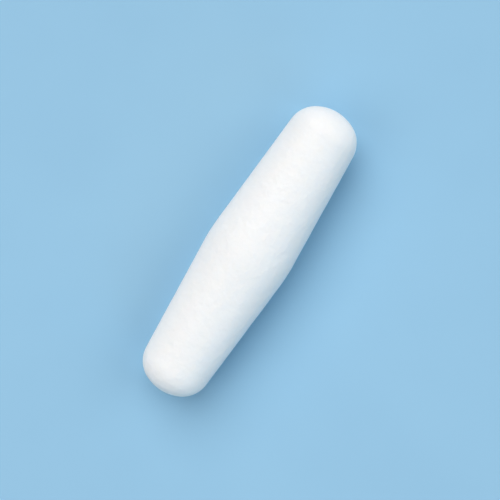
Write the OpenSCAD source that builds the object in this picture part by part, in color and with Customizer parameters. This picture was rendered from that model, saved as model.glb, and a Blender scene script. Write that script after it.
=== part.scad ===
// Magnetic stir bar: a rod magnet sealed inside a one-piece moulded jacket.
// The bar lies along X about the origin at its mid length, and spins about Z.

/* [Jacket] */
// Length over both domed ends
bar_length = 40; // [24:1:80]
// Diameter across the belly, at mid length
belly_d = 10.9; // [8:0.1:20]
// Slope of each taper against the axis, in degrees
taper_angle = 3.9; // [0.5:0.1:6]
// Radius of the blend where the two tapers meet at the belly
belly_blend_r = 22; // [2:1:60]
// Crown of each end: its radius less that of a full round dome
crown_flattening = 0.95; // [0.05:0.05:6]
// Shoulder round each crown: the full dome's radius less its own
shoulder_tightening = 0.9; // [0.05:0.05:3]
// Wall on the axis, beyond each end face of the magnet
end_wall = 3; // [1.5:0.1:8]
// Wall beside the end edges of the magnet, measured square to the axis
side_wall = 1.3; // [0.5:0.1:3]

/* [Magnet] */
// Chamfer on both end edges of the magnet
magnet_chamfer = 0.4; // [0.1:0.1:1]

/* [Fit] */
// Gap all round the magnet, inside the cavity that the jacket closes on it
magnet_gap = 0.02; // [0.01:0.01:0.2]

/* [Hidden] */
$fn = 96;
// Widest turn between neighbouring points of an arc, in degrees
arc_step = 3;

// The outline is given by stations x along the axis and radii y about it.
half_length = bar_length / 2;
taper_slope = tan(taper_angle);
// The two straight tapers would meet at mid length on this radius.
apex_r = belly_d / 2 + belly_blend_r * (1 / cos(taper_angle) - 1);
blend_y = apex_r - belly_blend_r / cos(taper_angle);

// A full round dome reaches the tip and touches the taper. The real end is a
// flatter crown round the tip and a tighter shoulder between it and the taper.
dome_r = (apex_r - half_length * taper_slope) * cos(taper_angle) / (1 - sin(taper_angle));
crown_r = dome_r + crown_flattening;
shoulder_r = dome_r - shoulder_tightening;
crown_x = half_length - crown_r;

// The shoulder's centre lies shoulder_r inside the taper, on the line
// y = inset_y - taper_slope * x, and crown_r - shoulder_r from the crown's
// centre, so it touches both. Line and circle give a quadratic in x.
inset_y = apex_r - shoulder_r / cos(taper_angle);
quad_a = 1 + taper_slope ^ 2;
quad_b = crown_x + inset_y * taper_slope;
quad_c = crown_x ^ 2 + inset_y ^ 2 - (crown_r - shoulder_r) ^ 2;
shoulder_x = (quad_b + sqrt(quad_b ^ 2 - quad_a * quad_c)) / quad_a;
shoulder_y = inset_y - taper_slope * shoulder_x;

// Angles from the axis at which the shoulder and then the taper take over
crown_end = atan2(shoulder_y, shoulder_x - crown_x);
taper_normal = 90 - taper_angle;

// The cavity ends where the end walls begin, and the magnet fits inside it.
cavity_half = half_length - end_wall;
cavity_chamfer = magnet_chamfer + (2 - sqrt(2)) * magnet_gap;
cavity_r = outline_r(cavity_half - cavity_chamfer) - side_wall;
magnet_half = cavity_half - magnet_gap;
magnet_r = cavity_r - magnet_gap;

// Radius of the outline at station x, on its crown, shoulder or taper
function outline_r(x) =
    x > crown_x + crown_r * cos(crown_end) ? sqrt(crown_r ^ 2 - (x - crown_x) ^ 2)
    : x > shoulder_x + shoulder_r * cos(taper_normal)
        ? shoulder_y + sqrt(shoulder_r ^ 2 - (x - shoulder_x) ^ 2)
    : apex_r - taper_slope * x;

// Points of an arc as [radius, station], after the one at angle a0 up to the one at a1
function arc(x, y, r, a0, a1) =
    let (n = ceil((a1 - a0) / arc_step))
    [for (i = [1:n]) let (a = a0 + (a1 - a0) * i / n) [y + r * sin(a), x + r * cos(a)]];

// One half of the outline, from the tip on the axis to the belly at mid length
function half_outline() = concat(
    [[0, half_length]],
    arc(crown_x, 0, crown_r, 0, crown_end),
    arc(shoulder_x, shoulder_y, shoulder_r, crown_end, taper_normal),
    [[blend_y + belly_blend_r * sin(taper_normal), belly_blend_r * cos(taper_normal)]],
    arc(0, blend_y, belly_blend_r, taper_normal, 90)
);

// The half and its mirror image, without the shared belly point twice
function full_outline() =
    let (half = half_outline(), last = len(half) - 1)
    concat(half, [for (i = [last - 1:-1:0]) [half[i].x, -half[i].y]]);

// Body turned about X from an outline of [radius, station] points
module turned(points) {
    rotate([0, 90, 0])
        rotate_extrude()
            polygon(points);
}

// Round rod along X with both end edges chamfered
module chamfered_rod(r, half, chamfer) {
    turned([
        [0, half], [r - chamfer, half], [r, half - chamfer],
        [r, chamfer - half], [r - chamfer, -half], [0, -half]
    ]);
}

// White moulded casing: two tapers from a rounded belly to domed ends, seamless,
// with the sealed cavity that it was moulded round
module ptfe_jacket() {
    color("white")
        difference() {
            turned(full_outline());
            chamfered_rod(cavity_r, cavity_half, cavity_chamfer);
        }
}

// Cast and ground rod magnet, magnetised along its length
module bar_magnet() {
    color("dimgray")
        chamfered_rod(magnet_r, magnet_half, magnet_chamfer);
}

ptfe_jacket();
bar_magnet();
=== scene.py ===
"""Looks of a magnetic stir bar: a seamless white PTFE jacket moulded round a rod magnet.

Everything is in metres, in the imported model's own frame: the bar lies along X about the
origin, Z is up, and its belly touches the bench below it. Each piece is a turned surface,
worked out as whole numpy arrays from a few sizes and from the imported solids' own boxes.
"""

import logging
from dataclasses import dataclass
from enum import Enum
from math import atan2, cos, pi, radians, sin, sqrt, tan

import bpy
import numpy as np
from mathutils import Matrix, Vector


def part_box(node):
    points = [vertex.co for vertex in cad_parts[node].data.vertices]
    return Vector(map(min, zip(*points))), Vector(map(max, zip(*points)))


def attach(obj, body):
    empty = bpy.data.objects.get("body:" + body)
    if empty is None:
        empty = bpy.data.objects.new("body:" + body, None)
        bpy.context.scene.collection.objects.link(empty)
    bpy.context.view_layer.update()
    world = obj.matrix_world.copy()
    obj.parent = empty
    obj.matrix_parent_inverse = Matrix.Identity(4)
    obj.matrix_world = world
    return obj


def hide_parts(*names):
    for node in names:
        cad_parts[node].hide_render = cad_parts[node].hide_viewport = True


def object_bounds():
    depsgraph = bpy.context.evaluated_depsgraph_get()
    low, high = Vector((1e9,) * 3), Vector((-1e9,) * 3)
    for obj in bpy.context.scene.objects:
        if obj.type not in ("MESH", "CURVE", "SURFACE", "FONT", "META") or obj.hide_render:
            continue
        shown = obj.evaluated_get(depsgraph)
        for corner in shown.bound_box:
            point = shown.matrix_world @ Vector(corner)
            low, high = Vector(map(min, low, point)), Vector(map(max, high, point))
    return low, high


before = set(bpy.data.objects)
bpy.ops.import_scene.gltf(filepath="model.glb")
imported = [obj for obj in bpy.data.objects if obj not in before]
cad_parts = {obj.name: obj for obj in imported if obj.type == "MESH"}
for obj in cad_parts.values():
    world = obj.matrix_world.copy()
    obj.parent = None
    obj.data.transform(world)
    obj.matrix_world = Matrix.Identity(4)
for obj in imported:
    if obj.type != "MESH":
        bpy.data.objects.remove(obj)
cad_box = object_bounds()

log = logging.getLogger("stir_bar")
MM = 0.001
MAGNET_CHAMFER = 0.4 * MM
Rgb = tuple[float, float, float]
Triple = tuple[float, float, float]
Value = float | tuple[float, ...] | bpy.types.NodeSocket  # what an input of a node takes
Setting = str | bpy.types.NodeTree  # what a node's own property takes


class Shell(Enum):
    """Which side of a turned shell is the outside of the piece."""

    OUTER = "faces point away from the axis"
    CAVITY = "faces point towards the axis"


class NodeKind(Enum):
    """The kinds of node that the materials use."""

    BACKGROUND = "ShaderNodeBackground"
    BUMP = "ShaderNodeBump"
    CELLS = "ShaderNodeTexVoronoi"
    COORDINATES = "ShaderNodeTexCoord"
    GROUP = "ShaderNodeGroup"
    LIGHT_PATH = "ShaderNodeLightPath"
    MAP_RANGE = "ShaderNodeMapRange"
    MATHS = "ShaderNodeMath"
    MIX = "ShaderNodeMix"
    MIX_SHADER = "ShaderNodeMixShader"
    NOISE = "ShaderNodeTexNoise"
    OUTPUT = "ShaderNodeOutputMaterial"
    PRINCIPLED = "ShaderNodeBsdfPrincipled"
    SPLIT = "ShaderNodeSeparateColor"
    VECTOR_MATHS = "ShaderNodeVectorMath"
    WORLD_OUTPUT = "ShaderNodeOutputWorld"


# ---------------------------------------------------------------- outlines


@dataclass(frozen=True)
class BarrelOutline:
    """Half outline of the jacket: crown, shoulder, straight taper and belly blend, all tangent.

    A full round dome of dome_radius would reach the tip and touch the taper. The real end is a
    flatter crown round the tip with a tighter shoulder between it and the taper.
    """

    half_length: float
    belly_radius: float
    taper_angle: float = radians(3.9)
    belly_blend_radius: float = 22 * MM
    crown_flattening: float = 0.95 * MM
    shoulder_tightening: float = 0.9 * MM

    @property
    def apex_radius(self) -> float:
        """Radius on which the two straight tapers would meet at mid length."""
        return self.belly_radius + self.belly_blend_radius * (1 / cos(self.taper_angle) - 1)

    @property
    def dome_radius(self) -> float:
        """Radius of the full dome that reaches the tip and touches the taper."""
        slope = self.apex_radius - self.half_length * tan(self.taper_angle)
        return slope * cos(self.taper_angle) / (1 - sin(self.taper_angle))

    @property
    def crown_radius(self) -> float:
        """Radius of the flatter crown round each tip."""
        return self.dome_radius + self.crown_flattening

    @property
    def shoulder_radius(self) -> float:
        """Radius of the tighter arc between crown and taper."""
        return self.dome_radius - self.shoulder_tightening

    def shoulder_centre(self) -> tuple[float, float]:
        """Centre of the shoulder arc, as station and radius.

        It lies on the line one shoulder radius inside the taper, and the difference of the two
        radii away from the crown's centre on the axis, which is a quadratic in the station.

        Returns:
            Station along the axis and radius about it.
        """
        slope = tan(self.taper_angle)
        crown = self.half_length - self.crown_radius
        inset = self.apex_radius - self.shoulder_radius / cos(self.taper_angle)
        a = 1 + slope**2
        b = crown + inset * slope
        c = crown**2 + inset**2 - (self.crown_radius - self.shoulder_radius) ** 2
        station = (b + sqrt(b**2 - a * c)) / a
        return station, inset - slope * station

    def points(self, count: int) -> tuple[np.ndarray, np.ndarray]:
        """Points evenly spaced along the whole outline, from the tip at +X to the tip at -X.

        The distance run from the tip picks the stretch: an arc point is the arc's centre plus
        its radius times the unit normal, and a taper point moves straight between two arcs.

        Args:
            count: Number of points, an odd number so that one falls on the belly.

        Returns:
            Points and outward unit normals, each as rows of station and radius.
        """
        crown = self.half_length - self.crown_radius
        knee, knee_radius = self.shoulder_centre()
        turn = atan2(knee_radius, knee - crown)
        square = pi / 2 - self.taper_angle
        blend_radius = self.apex_radius - self.belly_blend_radius / cos(self.taper_angle)
        outward = np.array([cos(square), sin(square)])
        start = np.array([knee, knee_radius]) + self.shoulder_radius * outward
        stop = np.array([0.0, blend_radius]) + self.belly_blend_radius * outward
        taper = float(np.hypot(*(stop - start)))
        crown_end, shoulder_end, taper_end, belly = np.cumsum([
            self.crown_radius * turn,
            self.shoulder_radius * (square - turn),
            taper,
            self.belly_blend_radius * self.taper_angle,
        ])
        run = np.linspace(0, 2 * belly, count)
        near = np.minimum(run, 2 * belly - run)
        where = [near <= crown_end, near <= shoulder_end, near <= taper_end]
        crown_angle = near / self.crown_radius
        shoulder_angle = turn + (near - crown_end) / self.shoulder_radius
        blend_angle = square + (near - taper_end) / self.belly_blend_radius
        angle = np.select(where, [crown_angle, shoulder_angle, np.full(count, square)], blend_angle)
        along = np.clip((near - shoulder_end) / taper, 0, 1)
        radius = np.select(where, [self.crown_radius, self.shoulder_radius, 0], self.belly_blend_radius)
        base_x = np.select(where, [crown, knee, start[0] + along * (stop[0] - start[0])], 0)
        base_y = np.select(where, [0, knee_radius, start[1] + along * (stop[1] - start[1])], blend_radius)
        side = np.where(run <= belly, 1, -1)
        normals = np.stack([side * np.cos(angle), np.sin(angle)], axis=1)
        outline = np.stack([side * base_x, base_y], axis=1) + radius[:, None] * normals
        outline[[0, -1], 1] = 0  # both tips lie on the axis exactly
        return outline, normals


@dataclass(frozen=True)
class RodOutline:
    """Half outline of a round rod with chamfered ends, each chamfer's two edges slightly rounded."""

    half_length: float
    radius: float
    chamfer: float
    spacing: float
    edge_radius: float = 0.06 * MM
    edge_steps: int = 5

    def points(self) -> tuple[np.ndarray, np.ndarray]:
        """Points from the centre of the face at +X to the centre of the face at -X.

        Each corner of the square-cut outline becomes an arc tangent to both its sides. Arcs take
        equal turns, and straights take equal steps, so the rings stay close to even.

        Returns:
            Points and outward unit normals, each as rows of station and radius.
        """
        corners = np.array([
            [self.half_length, self.radius - self.chamfer],
            [self.half_length - self.chamfer, self.radius],
        ])
        corner_turn = pi / 4
        angles = corner_turn * np.arange(3)
        set_back = self.edge_radius * tan(corner_turn / 2)
        points, turns = [np.array([[self.half_length, 0.0]])], [np.zeros(1)]
        for corner, before, after in zip(corners, angles[:-1], angles[1:]):
            leave = np.array([-sin(before), cos(before)])
            centre = corner - set_back * leave - self.edge_radius * np.array([cos(before), sin(before)])
            arc = np.linspace(before, after, self.edge_steps)
            self._straight(points, turns, corner - set_back * leave, before)
            points.append(centre + self.edge_radius * np.stack([np.cos(arc), np.sin(arc)], axis=1)[1:])
            turns.append(arc[1:])
        self._straight(points, turns, np.array([0.0, self.radius]), pi / 2)
        half, turn = np.concatenate(points), np.concatenate(turns)
        normals = np.stack([np.cos(turn), np.sin(turn)], axis=1)
        mirror = np.array([-1, 1])
        whole = np.concatenate([half, half[-2::-1] * mirror])
        return whole, np.concatenate([normals, normals[-2::-1] * mirror])

    def _straight(
        self, points: list[np.ndarray], turns: list[np.ndarray], stop: np.ndarray, turn: float
    ) -> None:
        """Adds even steps from the last point to a new one, with one normal angle for all.

        Args:
            points: Runs of points so far, which gain one more.
            turns: Runs of normal angles so far, which gain one more.
            stop: Where the straight ends.
            turn: Angle of its normal from the axis.
        """
        start = points[-1][-1]
        steps = max(1, round(float(np.hypot(*(stop - start))) / self.spacing))
        share = np.linspace(0, 1, steps + 1)[1:, None]
        points.append(start + share * (stop - start))
        turns.append(np.full(steps, turn))


# ---------------------------------------------------------------- surfaces


@dataclass(frozen=True)
class Waviness:
    """Very shallow undulation of a moulded or ground skin: a sum of cosine waves in space."""

    depth: float
    shortest: float
    longest: float
    waves: int
    seed: int

    def height(self, points: np.ndarray) -> np.ndarray:
        """Height at each point.

        Each wave is the cosine of the point dotted with a wave vector of random direction, plus
        a random phase. Long waves are the taller ones: a wave's share follows its length. The
        hyperbolic tangent of their sum, halved and raised by a half, is the height over the depth.

        Args:
            points: Rows of x, y and z.

        Returns:
            One height per point, never below 0 and never above the depth.
        """
        rng = np.random.default_rng(self.seed)
        way = rng.normal(size=(self.waves, 3))
        way /= np.linalg.norm(way, axis=1, keepdims=True)
        length = np.geomspace(self.shortest, self.longest, self.waves)
        phase = rng.uniform(0, 2 * pi, self.waves)
        share = length / sqrt(float(np.sum(length**2)))
        total = np.cos(points @ (way * (2 * pi / length)[:, None]).T + phase) @ share
        return self.depth * (0.5 + 0.5 * np.tanh(total))


@dataclass(frozen=True)
class TurnedShell:
    """One closed shell: an outline carried round the X axis, with its poles as single points."""

    outline: np.ndarray
    normals: np.ndarray
    around: int
    side: Shell = Shell.OUTER
    relief: Waviness | None = None

    def carried(self, rows: np.ndarray) -> np.ndarray:
        """Rows of station and radius carried round the axis.

        A point at station x, radius r and angle t about the axis is (x, r sin t, r cos t). The
        first and last rows lie on the axis, and come last, as the two poles.

        Args:
            rows: Station and radius of each outline point.

        Returns:
            Rows of x, y and z, ring after ring, then the two poles.
        """
        turn = np.linspace(0, 2 * pi, self.around, endpoint=False)
        ring = np.stack([np.sin(turn), np.cos(turn)], axis=1)
        stations = np.repeat(rows[1:-1, :1], self.around, axis=1)[..., None]
        rings = np.concatenate([stations, rows[1:-1, 1, None, None] * ring[None]], axis=2)
        poles = np.array([[rows[0, 0], 0, 0], [rows[-1, 0], 0, 0]])
        return np.concatenate([rings.reshape(-1, 3), poles])

    def vertices(self) -> np.ndarray:
        """Vertices, moved inwards along the normals by the relief, so that the shell never grows.

        Returns:
            Rows of x, y and z.
        """
        points = self.carried(self.outline)
        if self.relief is None:
            return points
        return points - self.carried(self.normals) * self.relief.height(points)[:, None]

    def faces(self) -> tuple[np.ndarray, np.ndarray]:
        """Quads between neighbouring rings, and a fan of triangles at each pole.

        Returns:
            Quads and triangles as rows of vertex numbers.
        """
        rings, around = len(self.outline) - 2, self.around
        first = np.arange(around)
        after = (first + 1) % around
        ring_start = around * np.arange(rings - 1)[:, None]
        here, beside = ring_start + first, ring_start + after
        quads = np.stack([here, beside, beside + around, here + around], axis=2).reshape(-1, 4)
        last_ring = (rings - 1) * around
        front_pole, back_pole = np.full(around, rings * around), np.full(around, rings * around + 1)
        front = np.stack([front_pole, after, first], axis=1)
        back = np.stack([back_pole, last_ring + first, last_ring + after], axis=1)
        triangles = np.concatenate([front, back])
        if self.side is Shell.CAVITY:
            quads, triangles = quads[:, ::-1], triangles[:, ::-1]
        return quads, triangles


def link_object(name: str, data: bpy.types.ID) -> bpy.types.Object:
    """Puts new data into the scene.

    Args:
        name: Name of its object.
        data: The mesh, lamp or camera.

    Returns:
        The new object, at the origin.
    """
    made = bpy.data.objects.new(name, data)
    bpy.context.scene.collection.objects.link(made)
    return made


def make_piece(name: str, shells: list[TurnedShell]) -> bpy.types.Object:
    """Joins closed shells into one smooth-shaded mesh object at the origin.

    Args:
        name: Name of the object and its mesh.
        shells: Shells in build order.

    Returns:
        The new object, linked to the scene.
    """
    vertices = [shell.vertices() for shell in shells]
    offsets = np.cumsum([0] + [len(rows) for rows in vertices])
    parts = [faces + offset for shell, offset in zip(shells, offsets) for faces in shell.faces()]
    corners = np.concatenate([part.ravel() for part in parts])
    sizes = np.concatenate([np.full(len(part), part.shape[1]) for part in parts])
    mesh = bpy.data.meshes.new(name)
    mesh.vertices.add(offsets[-1])
    mesh.vertices.foreach_set("co", np.concatenate(vertices).astype(np.float32).ravel())
    mesh.loops.add(len(corners))
    mesh.loops.foreach_set("vertex_index", corners.astype(np.int32))
    mesh.polygons.add(len(sizes))
    mesh.polygons.foreach_set("loop_start", (np.cumsum(sizes) - sizes).astype(np.int32))
    mesh.polygons.foreach_set("use_smooth", np.ones(len(sizes), dtype=bool))
    mesh.update(calc_edges=True)
    return link_object(name, mesh)


# ---------------------------------------------------------------- node sheets


@dataclass(frozen=True)
class NodeSheet:
    """One node tree, with a short way to add nodes, set their inputs and link them."""

    tree: bpy.types.NodeTree

    @classmethod
    def of_material(cls, name: str) -> tuple["NodeSheet", bpy.types.Material]:
        """Starts a new, empty material.

        Args:
            name: Name of the material.

        Returns:
            Its node sheet and the material.
        """
        material = bpy.data.materials.new(name)
        material.use_nodes = True
        material.node_tree.nodes.clear()
        return cls(material.node_tree), material

    def add(self, kind: NodeKind, inputs: dict[str | int, Value], **settings: Setting) -> bpy.types.Node:
        """Adds one node.

        Args:
            kind: Which node.
            inputs: Value or source socket for each input, by its name or number.
            **settings: Properties of the node itself, such as its operation, set first.

        Returns:
            The new node.
        """
        node = self.tree.nodes.new(kind.value)
        for name, setting in settings.items():
            setattr(node, name, setting)
        for key, value in inputs.items():
            if isinstance(value, bpy.types.NodeSocket):
                self.tree.links.new(value, node.inputs[key])
            else:
                node.inputs[key].default_value = value
        return node

    def place(self, group: bpy.types.NodeTree, inputs: dict[str, Value]) -> bpy.types.NodeSocket:
        """Places a node group with its own values, and gives its one output."""
        return self.add(NodeKind.GROUP, inputs, node_tree=group).outputs[0]

    def maths(self, operation: str, *values: Value) -> bpy.types.NodeSocket:
        """One step of arithmetic, and its result."""
        step = self.add(NodeKind.MATHS, dict(enumerate(values)), operation=operation)
        return step.outputs["Value"]

    def vector(self, operation: str, *values: Value) -> bpy.types.NodeSocket:
        """One step of vector arithmetic, and its result."""
        step = self.add(NodeKind.VECTOR_MATHS, dict(enumerate(values)), operation=operation)
        return step.outputs["Vector"]

    def tint(self, base: Value, over: Rgb, amount: Value) -> bpy.types.NodeSocket:
        """Mixes a colour over another.

        Args:
            base: The colour underneath.
            over: The colour laid over it.
            amount: How much of it, from 0 to 1.

        Returns:
            The mixed colour.
        """
        amount_input, base_input, over_input, colour_output = 0, 6, 7, 2
        inputs = {amount_input: amount, base_input: base, over_input: (*over, 1.0)}
        return self.add(NodeKind.MIX, inputs, data_type="RGBA").outputs[colour_output]

    def spread(self, value: Value, low: float, high: float) -> bpy.types.NodeSocket:
        """Carries a mask from 0..1 to a range of its own."""
        inputs = {"Value": value, "To Min": low, "To Max": high}
        return self.add(NodeKind.MAP_RANGE, inputs).outputs["Result"]

    def bump(self, height: Value) -> bpy.types.NodeSocket:
        """Turns a height in metres into a bumped normal."""
        inputs = {"Height": height, "Strength": 1.0, "Distance": 1.0}
        return self.add(NodeKind.BUMP, inputs).outputs["Normal"]

    def ease(self, value: Value, start: Value, stop: Value) -> bpy.types.NodeSocket:
        """Carries a value that crosses from start to stop to a mask that runs smoothly from 0 to 1."""
        inputs = {"Value": value, "From Min": start, "From Max": stop}
        return self.add(NodeKind.MAP_RANGE, inputs, interpolation_type="SMOOTHSTEP").outputs["Result"]


def start_group(
    name: str, inputs: dict[str, Value], output: str
) -> tuple[NodeSheet, bpy.types.Node, bpy.types.Node]:
    """Starts a node group with named inputs and one named output.

    Args:
        name: Name of the group.
        inputs: Default of each input by name, a number or three numbers.
        output: Name of its one output, a number.

    Returns:
        Its node sheet, the node with its inputs and the node with its output.
    """
    tree = bpy.data.node_groups.new(name, "ShaderNodeTree")
    for label, value in inputs.items():
        kind = "NodeSocketFloat" if isinstance(value, float) else "NodeSocketVector"
        tree.interface.new_socket(label, in_out="INPUT", socket_type=kind).default_value = value
    tree.interface.new_socket(output, in_out="OUTPUT", socket_type="NodeSocketFloat")
    return NodeSheet(tree), tree.nodes.new("NodeGroupInput"), tree.nodes.new("NodeGroupOutput")


# ---------------------------------------------------------------- shared effects


@dataclass(frozen=True)
class Clouds:
    """How soft cloudy tone lies on a surface: the size of its patches, their softness and shift."""

    size: float
    softness: float = 0.2
    shift: Triple = (0.0, 0.0, 0.0)


@dataclass(frozen=True)
class Grain:
    """How skin grain lies on a surface: its size, its depth each way, and its lay along each axis."""

    size: float
    depth: float
    lay: Triple = (1.0, 1.0, 1.0)


@dataclass(frozen=True)
class Specks:
    """How sparse specks lie: the size of their cells, their radius, and the share of cells with one."""

    spacing: float
    radius: float
    share: float


def build_clouds() -> bpy.types.NodeTree:
    """Builds soft cloudy tone.

    The place is shifted and divided by the cloud size, and read as noise. The noise rises smoothly
    from 0 to 1 while it crosses from its middle less the softness to its middle plus the softness.

    Returns:
        The node group.
    """
    inputs = {"Vector": (0.0, 0.0, 0.0), "Shift": (0.0, 0.0, 0.0), "Size": 2 * MM, "Softness": 0.2}
    sheet, given, result = start_group("soft_clouds", inputs, "Mask")
    spot = sheet.vector("ADD", given.outputs["Vector"], given.outputs["Shift"])
    many = sheet.maths("DIVIDE", 1.0, given.outputs["Size"])
    noise = sheet.add(NodeKind.NOISE, {"Vector": spot, "Scale": many, "Detail": 2.0, "Roughness": 0.5})
    middle = 0.5
    low = sheet.maths("SUBTRACT", middle, given.outputs["Softness"])
    high = sheet.maths("ADD", middle, given.outputs["Softness"])
    sheet.tree.links.new(sheet.ease(noise.outputs["Fac"], low, high), result.inputs["Mask"])
    return sheet.tree


def build_grain() -> bpy.types.NodeTree:
    """Builds skin grain.

    The place is multiplied by the lay and divided by the grain size, and read as noise. The height
    is twice the noise's distance from its middle, times the depth.

    Returns:
        The node group.
    """
    inputs = {"Vector": (0.0, 0.0, 0.0), "Lay": (1.0, 1.0, 1.0), "Size": 0.5 * MM, "Depth": 0.001 * MM}
    sheet, given, result = start_group("skin_grain", inputs, "Height")
    laid = sheet.vector("MULTIPLY", given.outputs["Vector"], given.outputs["Lay"])
    many = sheet.maths("DIVIDE", 1.0, given.outputs["Size"])
    noise = sheet.add(NodeKind.NOISE, {"Vector": laid, "Scale": many, "Detail": 1.5, "Roughness": 0.55})
    middle = 0.5
    about = sheet.maths("SUBTRACT", noise.outputs["Fac"], middle)
    height = sheet.maths("MULTIPLY", sheet.maths("MULTIPLY", about, 1 / middle), given.outputs["Depth"])
    sheet.tree.links.new(height, result.inputs["Height"])
    return sheet.tree


def build_specks() -> bpy.types.NodeTree:
    """Builds sparse round specks.

    Cells of the given spacing fill space, and each has a random lot from 0 to 1. Those whose lot is
    under the share hold a speck, which is whole in its core and fades from there to its radius.

    Returns:
        The node group.
    """
    core_share = 0.4
    inputs = {"Vector": (0.0, 0.0, 0.0), "Spacing": 1 * MM, "Radius": 0.1 * MM, "Share": 0.3}
    sheet, given, result = start_group("sparse_specks", inputs, "Mask")
    many = sheet.maths("DIVIDE", 1.0, given.outputs["Spacing"])
    cells = sheet.add(NodeKind.CELLS, {"Vector": given.outputs["Vector"], "Scale": many, "Randomness": 1.0})
    away = sheet.maths("MULTIPLY", cells.outputs["Distance"], given.outputs["Spacing"])
    core = sheet.maths("MULTIPLY", given.outputs["Radius"], core_share)
    near = sheet.ease(away, given.outputs["Radius"], core)
    lot = sheet.add(NodeKind.SPLIT, {"Color": cells.outputs["Color"]}).outputs["Red"]
    holds = sheet.maths("LESS_THAN", lot, given.outputs["Share"])
    sheet.tree.links.new(sheet.maths("MULTIPLY", near, holds), result.inputs["Mask"])
    return sheet.tree


@dataclass(frozen=True)
class Effects:
    """Surface effects that the finishes share: each is a node group, built once and placed by a method."""

    cloud_group: bpy.types.NodeTree
    grain_group: bpy.types.NodeTree
    speck_group: bpy.types.NodeTree

    @classmethod
    def build(cls) -> "Effects":
        """Builds every shared effect."""
        return cls(build_clouds(), build_grain(), build_specks())

    def clouds(self, sheet: NodeSheet, at: bpy.types.NodeSocket, look: Clouds) -> bpy.types.NodeSocket:
        """Places cloudy tone, and gives its mask from 0 to 1."""
        inputs = {"Vector": at, "Shift": look.shift, "Size": look.size, "Softness": look.softness}
        return sheet.place(self.cloud_group, inputs)

    def grain(self, sheet: NodeSheet, at: bpy.types.NodeSocket, look: Grain) -> bpy.types.NodeSocket:
        """Places skin grain, and gives its height in metres."""
        inputs = {"Vector": at, "Lay": look.lay, "Size": look.size, "Depth": look.depth}
        return sheet.place(self.grain_group, inputs)

    def specks(self, sheet: NodeSheet, at: bpy.types.NodeSocket, look: Specks) -> bpy.types.NodeSocket:
        """Places sparse specks, and gives their mask from 0 to 1."""
        inputs = {"Vector": at, "Spacing": look.spacing, "Radius": look.radius, "Share": look.share}
        return sheet.place(self.speck_group, inputs)


# ---------------------------------------------------------------- finishes


@dataclass(frozen=True)
class Tint:
    """A faint cloud of another colour, laid over what is under it up to a share."""

    colour: Rgb
    share: float
    clouds: Clouds


@dataclass(frozen=True)
class PtfeFinish:
    """Sintered PTFE: satin white and slightly milky, with faint warm, rosy and cool clouds."""

    white: Rgb = (0.95, 0.94, 0.925)
    cream: Tint = Tint((0.955, 0.935, 0.895), 0.35, Clouds(2.6 * MM))
    rose: Tint = Tint((0.955, 0.92, 0.92), 0.3, Clouds(1.9 * MM, shift=(0.07, 0.07, 0.0)))
    cool: Tint = Tint((0.905, 0.92, 0.935), 0.3, Clouds(1.2 * MM, shift=(0.13, 0.13, 0.0)))
    inclusion: Rgb = (0.72, 0.7, 0.67)
    inclusion_share: float = 0.25
    inclusions: Specks = Specks(spacing=1.5 * MM, radius=0.09 * MM, share=0.3)
    pores: Specks = Specks(spacing=1.5 * MM, radius=0.11 * MM, share=0.3)
    pore_depth: float = 0.004 * MM
    coarse_grain: Grain = Grain(size=0.95 * MM, depth=0.056 * MM)
    fine_grain: Grain = Grain(size=0.32 * MM, depth=0.018 * MM)
    satin: tuple[float, float] = (0.4, 0.52)
    satin_clouds: Clouds = Clouds(2.4 * MM, shift=(0.3, 0.0, 0.1))
    refraction: float = 1.35
    chalkiness: float = 0.5
    milkiness: float = 0.25
    milk_reach: Triple = (1.0, 0.92, 0.85)
    milk_depth: float = 0.5 * MM

    def material(self, effects: Effects) -> bpy.types.Material:
        """Builds the material.

        Args:
            effects: The shared node groups.

        Returns:
            The finished material.
        """
        sheet, material = NodeSheet.of_material("sintered_ptfe")
        at = sheet.add(NodeKind.COORDINATES, {}).outputs["Object"]
        satin = effects.clouds(sheet, at, self.satin_clouds)
        shader = sheet.add(NodeKind.PRINCIPLED, {
            "Base Color": self.colour(sheet, effects, at),
            "Roughness": sheet.spread(satin, *self.satin),
            "IOR": self.refraction,
            "Diffuse Roughness": self.chalkiness,
            "Subsurface Weight": self.milkiness,
            "Subsurface Radius": self.milk_reach,
            "Subsurface Scale": self.milk_depth,
            "Normal": self.normal(sheet, effects, at),
        })
        sheet.add(NodeKind.OUTPUT, {"Surface": shader.outputs["BSDF"]})
        return material

    def colour(self, sheet: NodeSheet, effects: Effects, at: bpy.types.NodeSocket) -> bpy.types.NodeSocket:
        """Near-white with three faint clouds of tint at falling sizes, then the odd tiny inclusion.

        Args:
            sheet: The material's node sheet.
            effects: The shared node groups.
            at: Object coordinates.

        Returns:
            The colour.
        """
        colour: Value = (*self.white, 1.0)
        for tint in (self.cream, self.rose, self.cool):
            cloud = effects.clouds(sheet, at, tint.clouds)
            colour = sheet.tint(colour, tint.colour, sheet.spread(cloud, 0.0, tint.share))
        speck = effects.specks(sheet, at, self.inclusions)
        return sheet.tint(colour, self.inclusion, sheet.spread(speck, 0.0, self.inclusion_share))

    def normal(self, sheet: NodeSheet, effects: Effects, at: bpy.types.NodeSocket) -> bpy.types.NodeSocket:
        """Moulded grain at two sizes, with a shallow pore at each inclusion, as one bump.

        Args:
            sheet: The material's node sheet.
            effects: The shared node groups.
            at: Object coordinates.

        Returns:
            The bumped normal.
        """
        coarse = effects.grain(sheet, at, self.coarse_grain)
        fine = effects.grain(sheet, at, self.fine_grain)
        pore = sheet.maths("MULTIPLY", effects.specks(sheet, at, self.pores), self.pore_depth)
        height = sheet.maths("SUBTRACT", sheet.maths("ADD", coarse, fine), pore)
        return sheet.bump(height)


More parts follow.
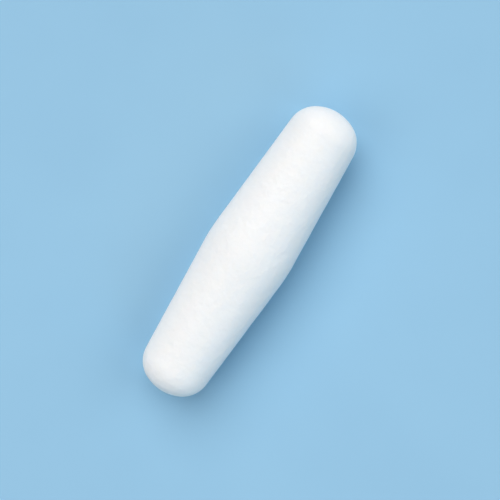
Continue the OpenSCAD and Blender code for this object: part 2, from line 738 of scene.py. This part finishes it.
@dataclass(frozen=True)
class AlnicoFinish:
    """Cast and ground AlNiCo: dull grey metal with grinding lines round it and casting pores, each painted
    near-black inside as shade.
    """

    dark: Rgb = (0.25, 0.245, 0.235)
    light: Rgb = (0.4, 0.39, 0.375)
    tone: Clouds = Clouds(1.6 * MM, softness=0.25)
    lines: Grain = Grain(size=0.12 * MM, depth=0.0025 * MM, lay=(1.0, 0.03, 0.03))
    streak_height: float = 0.0012 * MM
    # The pore colour is painted shade: near-black wherever a casting pore's hollow lies.
    pore: Rgb = (0.07, 0.065, 0.06)
    pores: Specks = Specks(spacing=0.9 * MM, radius=0.12 * MM, share=0.22)
    pore_depth: float = 0.03 * MM
    pore_dullness: float = 0.35
    sheen: tuple[float, float] = (0.34, 0.52)

    def material(self, effects: Effects) -> bpy.types.Material:
        """Builds the material.

        The grinding lines run round the rod: their noise changes fast along X and hardly across it.
        Between minus and plus the streak height they carry the tone from dark to light.

        Args:
            effects: The shared node groups.

        Returns:
            The finished material.
        """
        sheet, material = NodeSheet.of_material("ground_alnico")
        at = sheet.add(NodeKind.COORDINATES, {}).outputs["Object"]
        tone = effects.clouds(sheet, at, self.tone)
        pore = effects.specks(sheet, at, self.pores)
        lines = effects.grain(sheet, at, self.lines)
        crossing = {"Value": lines, "From Min": -self.streak_height, "From Max": self.streak_height}
        streak = sheet.add(NodeKind.MAP_RANGE, crossing).outputs["Result"]
        colour = sheet.tint((*self.dark, 1.0), self.light, sheet.maths("MULTIPLY", tone, streak))
        dullness = sheet.spread(pore, 0.0, self.pore_dullness)
        height = sheet.maths("SUBTRACT", lines, sheet.maths("MULTIPLY", pore, self.pore_depth))
        shader = sheet.add(NodeKind.PRINCIPLED, {
            # Painted shade: the base colour goes near-black inside each pore, on top of its bump dent.
            "Base Color": sheet.tint(colour, self.pore, pore),
            "Metallic": 1.0,
            "Roughness": sheet.maths("ADD", sheet.spread(tone, *self.sheen), dullness),
            "Normal": sheet.bump(height),
        })
        sheet.add(NodeKind.OUTPUT, {"Surface": shader.outputs["BSDF"]})
        return material


@dataclass(frozen=True)
class BoardFinish:
    """Matt coated board under the bar: one pale blue, clouded by about a hundredth."""

    pale: Rgb = (0.33, 0.575, 0.77)
    deeper: Rgb = (0.32, 0.56, 0.755)
    clouding: Clouds = Clouds(14 * MM, softness=0.3)
    matt: float = 0.85

    def material(self, effects: Effects) -> bpy.types.Material:
        """Builds the material.

        Args:
            effects: The shared node groups.

        Returns:
            The finished material.
        """
        sheet, material = NodeSheet.of_material("pale_board")
        at = sheet.add(NodeKind.COORDINATES, {}).outputs["Object"]
        cloud = effects.clouds(sheet, at, self.clouding)
        shader = sheet.add(NodeKind.PRINCIPLED, {
            "Base Color": sheet.tint((*self.pale, 1.0), self.deeper, cloud),
            "Roughness": self.matt,
            "Specular IOR Level": 0.0,
        })
        sheet.add(NodeKind.OUTPUT, {"Surface": shader.outputs["BSDF"]})
        return material


# ---------------------------------------------------------------- pieces


@dataclass
class PtfeJacket:
    """The moulded casing: outer barrel and the sealed cavity that the magnet fills."""

    node: str = "ptfe_jacket"
    magnet_node: str = "bar_magnet"
    cavity_gap: float = 0.02 * MM
    magnet_chamfer: float = MAGNET_CHAMFER
    cavity_spacing: float = 1 * MM
    cavity_around: int = 64
    stations: int = 401
    around: int = 180
    skin: Waviness = Waviness(depth=0.022 * MM, shortest=1.3 * MM, longest=5 * MM, waves=48, seed=7)
    finish: PtfeFinish = PtfeFinish()

    def outer_shell(self) -> TurnedShell:
        """The barrel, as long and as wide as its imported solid.

        Returns:
            The outer shell.
        """
        low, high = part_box(self.node)
        outline = BarrelOutline((high.x - low.x) / 2, (high.z - low.z) / 2)
        return TurnedShell(*outline.points(self.stations), self.around, Shell.OUTER, self.skin)

    def cavity_shell(self) -> TurnedShell:
        """The cavity: the magnet's outline moved out by the gap, its chamfers included.

        A chamfer moved out together with its two neighbours grows by 2 less root 2 times the gap.

        Returns:
            The cavity's shell, with its faces towards the axis.
        """
        low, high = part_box(self.magnet_node)
        gap = self.cavity_gap
        chamfer = self.magnet_chamfer + (2 - sqrt(2)) * gap
        half_length, radius = (high.x - low.x) / 2 + gap, (high.z - low.z) / 2 + gap
        outline = RodOutline(half_length, radius, chamfer, self.cavity_spacing)
        return TurnedShell(*outline.points(), self.cavity_around, Shell.CAVITY)

    def build(self) -> bpy.types.Object:
        """Builds the jacket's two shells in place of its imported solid.

        Returns:
            The jacket, still without its finish.
        """
        piece = make_piece("moulded_jacket", [self.outer_shell(), self.cavity_shell()])
        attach(piece, "root")
        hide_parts(self.node)
        return piece

    def dress(self, piece: bpy.types.Object, effects: Effects) -> None:
        """Gives the jacket its finish."""
        piece.data.materials.append(self.finish.material(effects))


@dataclass
class BarMagnet:
    """The rod magnet sealed in the jacket: ground round, with small chamfers."""

    node: str = "bar_magnet"
    chamfer: float = MAGNET_CHAMFER
    spacing: float = 0.16 * MM
    around: int = 120
    skin: Waviness = Waviness(depth=0.006 * MM, shortest=0.8 * MM, longest=4 * MM, waves=32, seed=11)
    finish: AlnicoFinish = AlnicoFinish()

    def build(self) -> bpy.types.Object:
        """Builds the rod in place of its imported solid.

        Returns:
            The magnet, still without its finish.
        """
        low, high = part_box(self.node)
        outline = RodOutline((high.x - low.x) / 2, (high.z - low.z) / 2, self.chamfer, self.spacing)
        rod = TurnedShell(*outline.points(), self.around, Shell.OUTER, self.skin)
        piece = make_piece("ground_magnet", [rod])
        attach(piece, "root")
        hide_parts(self.node)
        return piece

    def dress(self, piece: bpy.types.Object, effects: Effects) -> None:
        """Gives the magnet its finish."""
        piece.data.materials.append(self.finish.material(effects))


# ---------------------------------------------------------------- studio


def direction(azimuth: float, tilt: float) -> Vector:
    """Unit vector at that azimuth from +X towards +Y, tilted that far from straight up."""
    return Vector((sin(tilt) * cos(azimuth), sin(tilt) * sin(azimuth), cos(tilt)))


@dataclass(frozen=True)
class SoftBox:
    """A large round soft box or card, facing the bar from far enough to light the board evenly.

    Its azimuth runs from +X towards +Y, its tilt from straight up, and its spread is its angular
    radius, all in degrees.
    """

    name: str
    azimuth: float
    tilt: float
    strength: float
    spread: float
    colour: Rgb = (1.0, 1.0, 1.0)
    distance: float = 40.0

    def build(self) -> bpy.types.Object:
        """Builds the lamp.

        A disk of angular radius a and radiance L makes a white surface that faces it show
        L sin²a. The strength is that brightness, so the lamp's power is L times pi times its area.

        Returns:
            The lamp.
        """
        radius = self.distance * tan(radians(self.spread))
        radiance = self.strength / sin(radians(self.spread)) ** 2
        lamp = bpy.data.lights.new(self.name, "AREA")
        lamp.shape = "DISK"
        lamp.size = 2 * radius
        lamp.energy = radiance * pi * (pi * radius**2)
        lamp.color = self.colour
        way = direction(radians(self.azimuth), radians(self.tilt))
        turn = way.to_track_quat("Z", "Y").to_matrix().to_4x4()
        made = link_object(self.name, lamp)
        made.matrix_world = Matrix.Translation(way * self.distance) @ turn
        made.visible_camera = False
        return made


@dataclass(frozen=True)
class Backdrop:
    """The board that the bar lies on, and the plain space round it with its faint even light."""

    half_width: float = 1.5
    horizon: Rgb = (0.315, 0.567, 0.782)
    ambient: float = 0.04
    board: BoardFinish = BoardFinish()

    def build_board(self, effects: Effects) -> bpy.types.Object:
        """Builds the board as a flat square just under the jacket.

        Args:
            effects: The shared node groups.

        Returns:
            The board.
        """
        reach, level = self.half_width, cad_box[0].z
        corners = [(-reach, -reach), (reach, -reach), (reach, reach), (-reach, reach)]
        mesh = bpy.data.meshes.new("board")
        mesh.from_pydata([(x, y, level) for x, y in corners], [], [(0, 1, 2, 3)])
        mesh.materials.append(self.board.material(effects))
        board = link_object("board", mesh)
        return board

    def build_world(self) -> None:
        """Lights the scene evenly, while camera, mirror and glass rays see the horizon's colour."""
        world = bpy.data.worlds.new("studio")
        world.use_nodes = True
        world.node_tree.nodes.clear()
        sheet = NodeSheet(world.node_tree)
        path = sheet.add(NodeKind.LIGHT_PATH, {})
        seen = sheet.maths("MAXIMUM", path.outputs["Is Camera Ray"], path.outputs["Is Glossy Ray"])
        seen = sheet.maths("MAXIMUM", seen, path.outputs["Is Transmission Ray"])
        light = sheet.add(NodeKind.BACKGROUND, {"Color": (1.0, 1.0, 1.0, 1.0), "Strength": self.ambient})
        shown = sheet.add(NodeKind.BACKGROUND, {"Color": (*self.horizon, 1.0), "Strength": 1.0})
        share_input, light_input, shown_input = 0, 1, 2
        both = sheet.add(NodeKind.MIX_SHADER, {
            share_input: seen,
            light_input: light.outputs["Background"],
            shown_input: shown.outputs["Background"],
        })
        sheet.add(NodeKind.WORLD_OUTPUT, {"Surface": both.outputs["Shader"]})
        bpy.context.scene.world = world


@dataclass(frozen=True)
class Viewpoint:
    """The camera: nearly straight above, leaning a little towards the +X end, and rolled.

    The lens is a focal length in millimetres, over Blender's usual sensor width.
    """

    distance: float = 120 * MM
    lens: float = 71.1
    lean: float = radians(5.15)
    roll: float = radians(57.34)
    aside: float = 0.183 * MM
    above: float = 0.365 * MM

    def build(self) -> bpy.types.Object:
        """Builds the camera and makes it the scene's own.

        Its backward axis leans from straight up towards +X. Its right and up axes are the level
        pair turned by the roll. It looks at a point a little aside of and above the centre.

        Returns:
            The camera.
        """
        back = direction(0.0, self.lean)
        along = Vector((cos(self.lean), 0, -sin(self.lean)))
        across = back.cross(along)
        right = along * cos(self.roll) - across * sin(self.roll)
        up = along * sin(self.roll) + across * cos(self.roll)
        lens = bpy.data.cameras.new("camera")
        lens.lens = self.lens
        camera = link_object("camera", lens)
        pose = Matrix((right, up, back)).transposed().to_4x4()
        pose.translation = right * self.aside + up * self.above + back * self.distance
        camera.matrix_world = pose
        bpy.context.scene.camera = camera
        return camera


@dataclass(frozen=True)
class Studio:
    """Board, horizon, soft boxes and camera."""

    viewpoint: Viewpoint = Viewpoint()
    backdrop: Backdrop = Backdrop()
    lamps: tuple[SoftBox, ...] = (
        SoftBox("key_box", azimuth=45, tilt=33, strength=0.7, spread=25),
        SoftBox("side_box", azimuth=142, tilt=41, strength=0.175, spread=20),
        SoftBox("low_box", azimuth=253, tilt=41, strength=0.075, spread=15),
        SoftBox("end_box", azimuth=320, tilt=50, strength=0.22, spread=20),
        SoftBox("blue_card", azimuth=246, tilt=74, strength=0.19, spread=24, colour=(0.06, 0.6, 1.0)),
    )

    def build(self, effects: Effects) -> None:
        """Builds the whole studio round the bar.

        Args:
            effects: The shared node groups.
        """
        self.viewpoint.build()
        self.backdrop.build_board(effects)
        self.backdrop.build_world()
        for lamp in self.lamps:
            lamp.build()
            log.info("lamp %s at azimuth %g, tilt %g", lamp.name, lamp.azimuth, lamp.tilt)
        bpy.context.scene.view_settings.view_transform = "Standard"


# ---------------------------------------------------------------- the whole


def triangle_count(piece: bpy.types.Object) -> int:
    """Number of triangles that the piece's faces make."""
    return len(piece.data.loops) - 2 * len(piece.data.polygons)


def main() -> None:
    """Builds the pieces and the studio in order, and reports each piece."""
    logging.basicConfig(level=logging.INFO, format="%(name)s: %(message)s")
    effects = Effects.build()
    for part in (BarMagnet(), PtfeJacket()):
        piece = part.build()
        part.dress(piece, effects)
        log.info("%s in place of %s: %d triangles", piece.name, part.node, triangle_count(piece))
    Studio().build(effects)


if __name__ == "__main__":
    main()
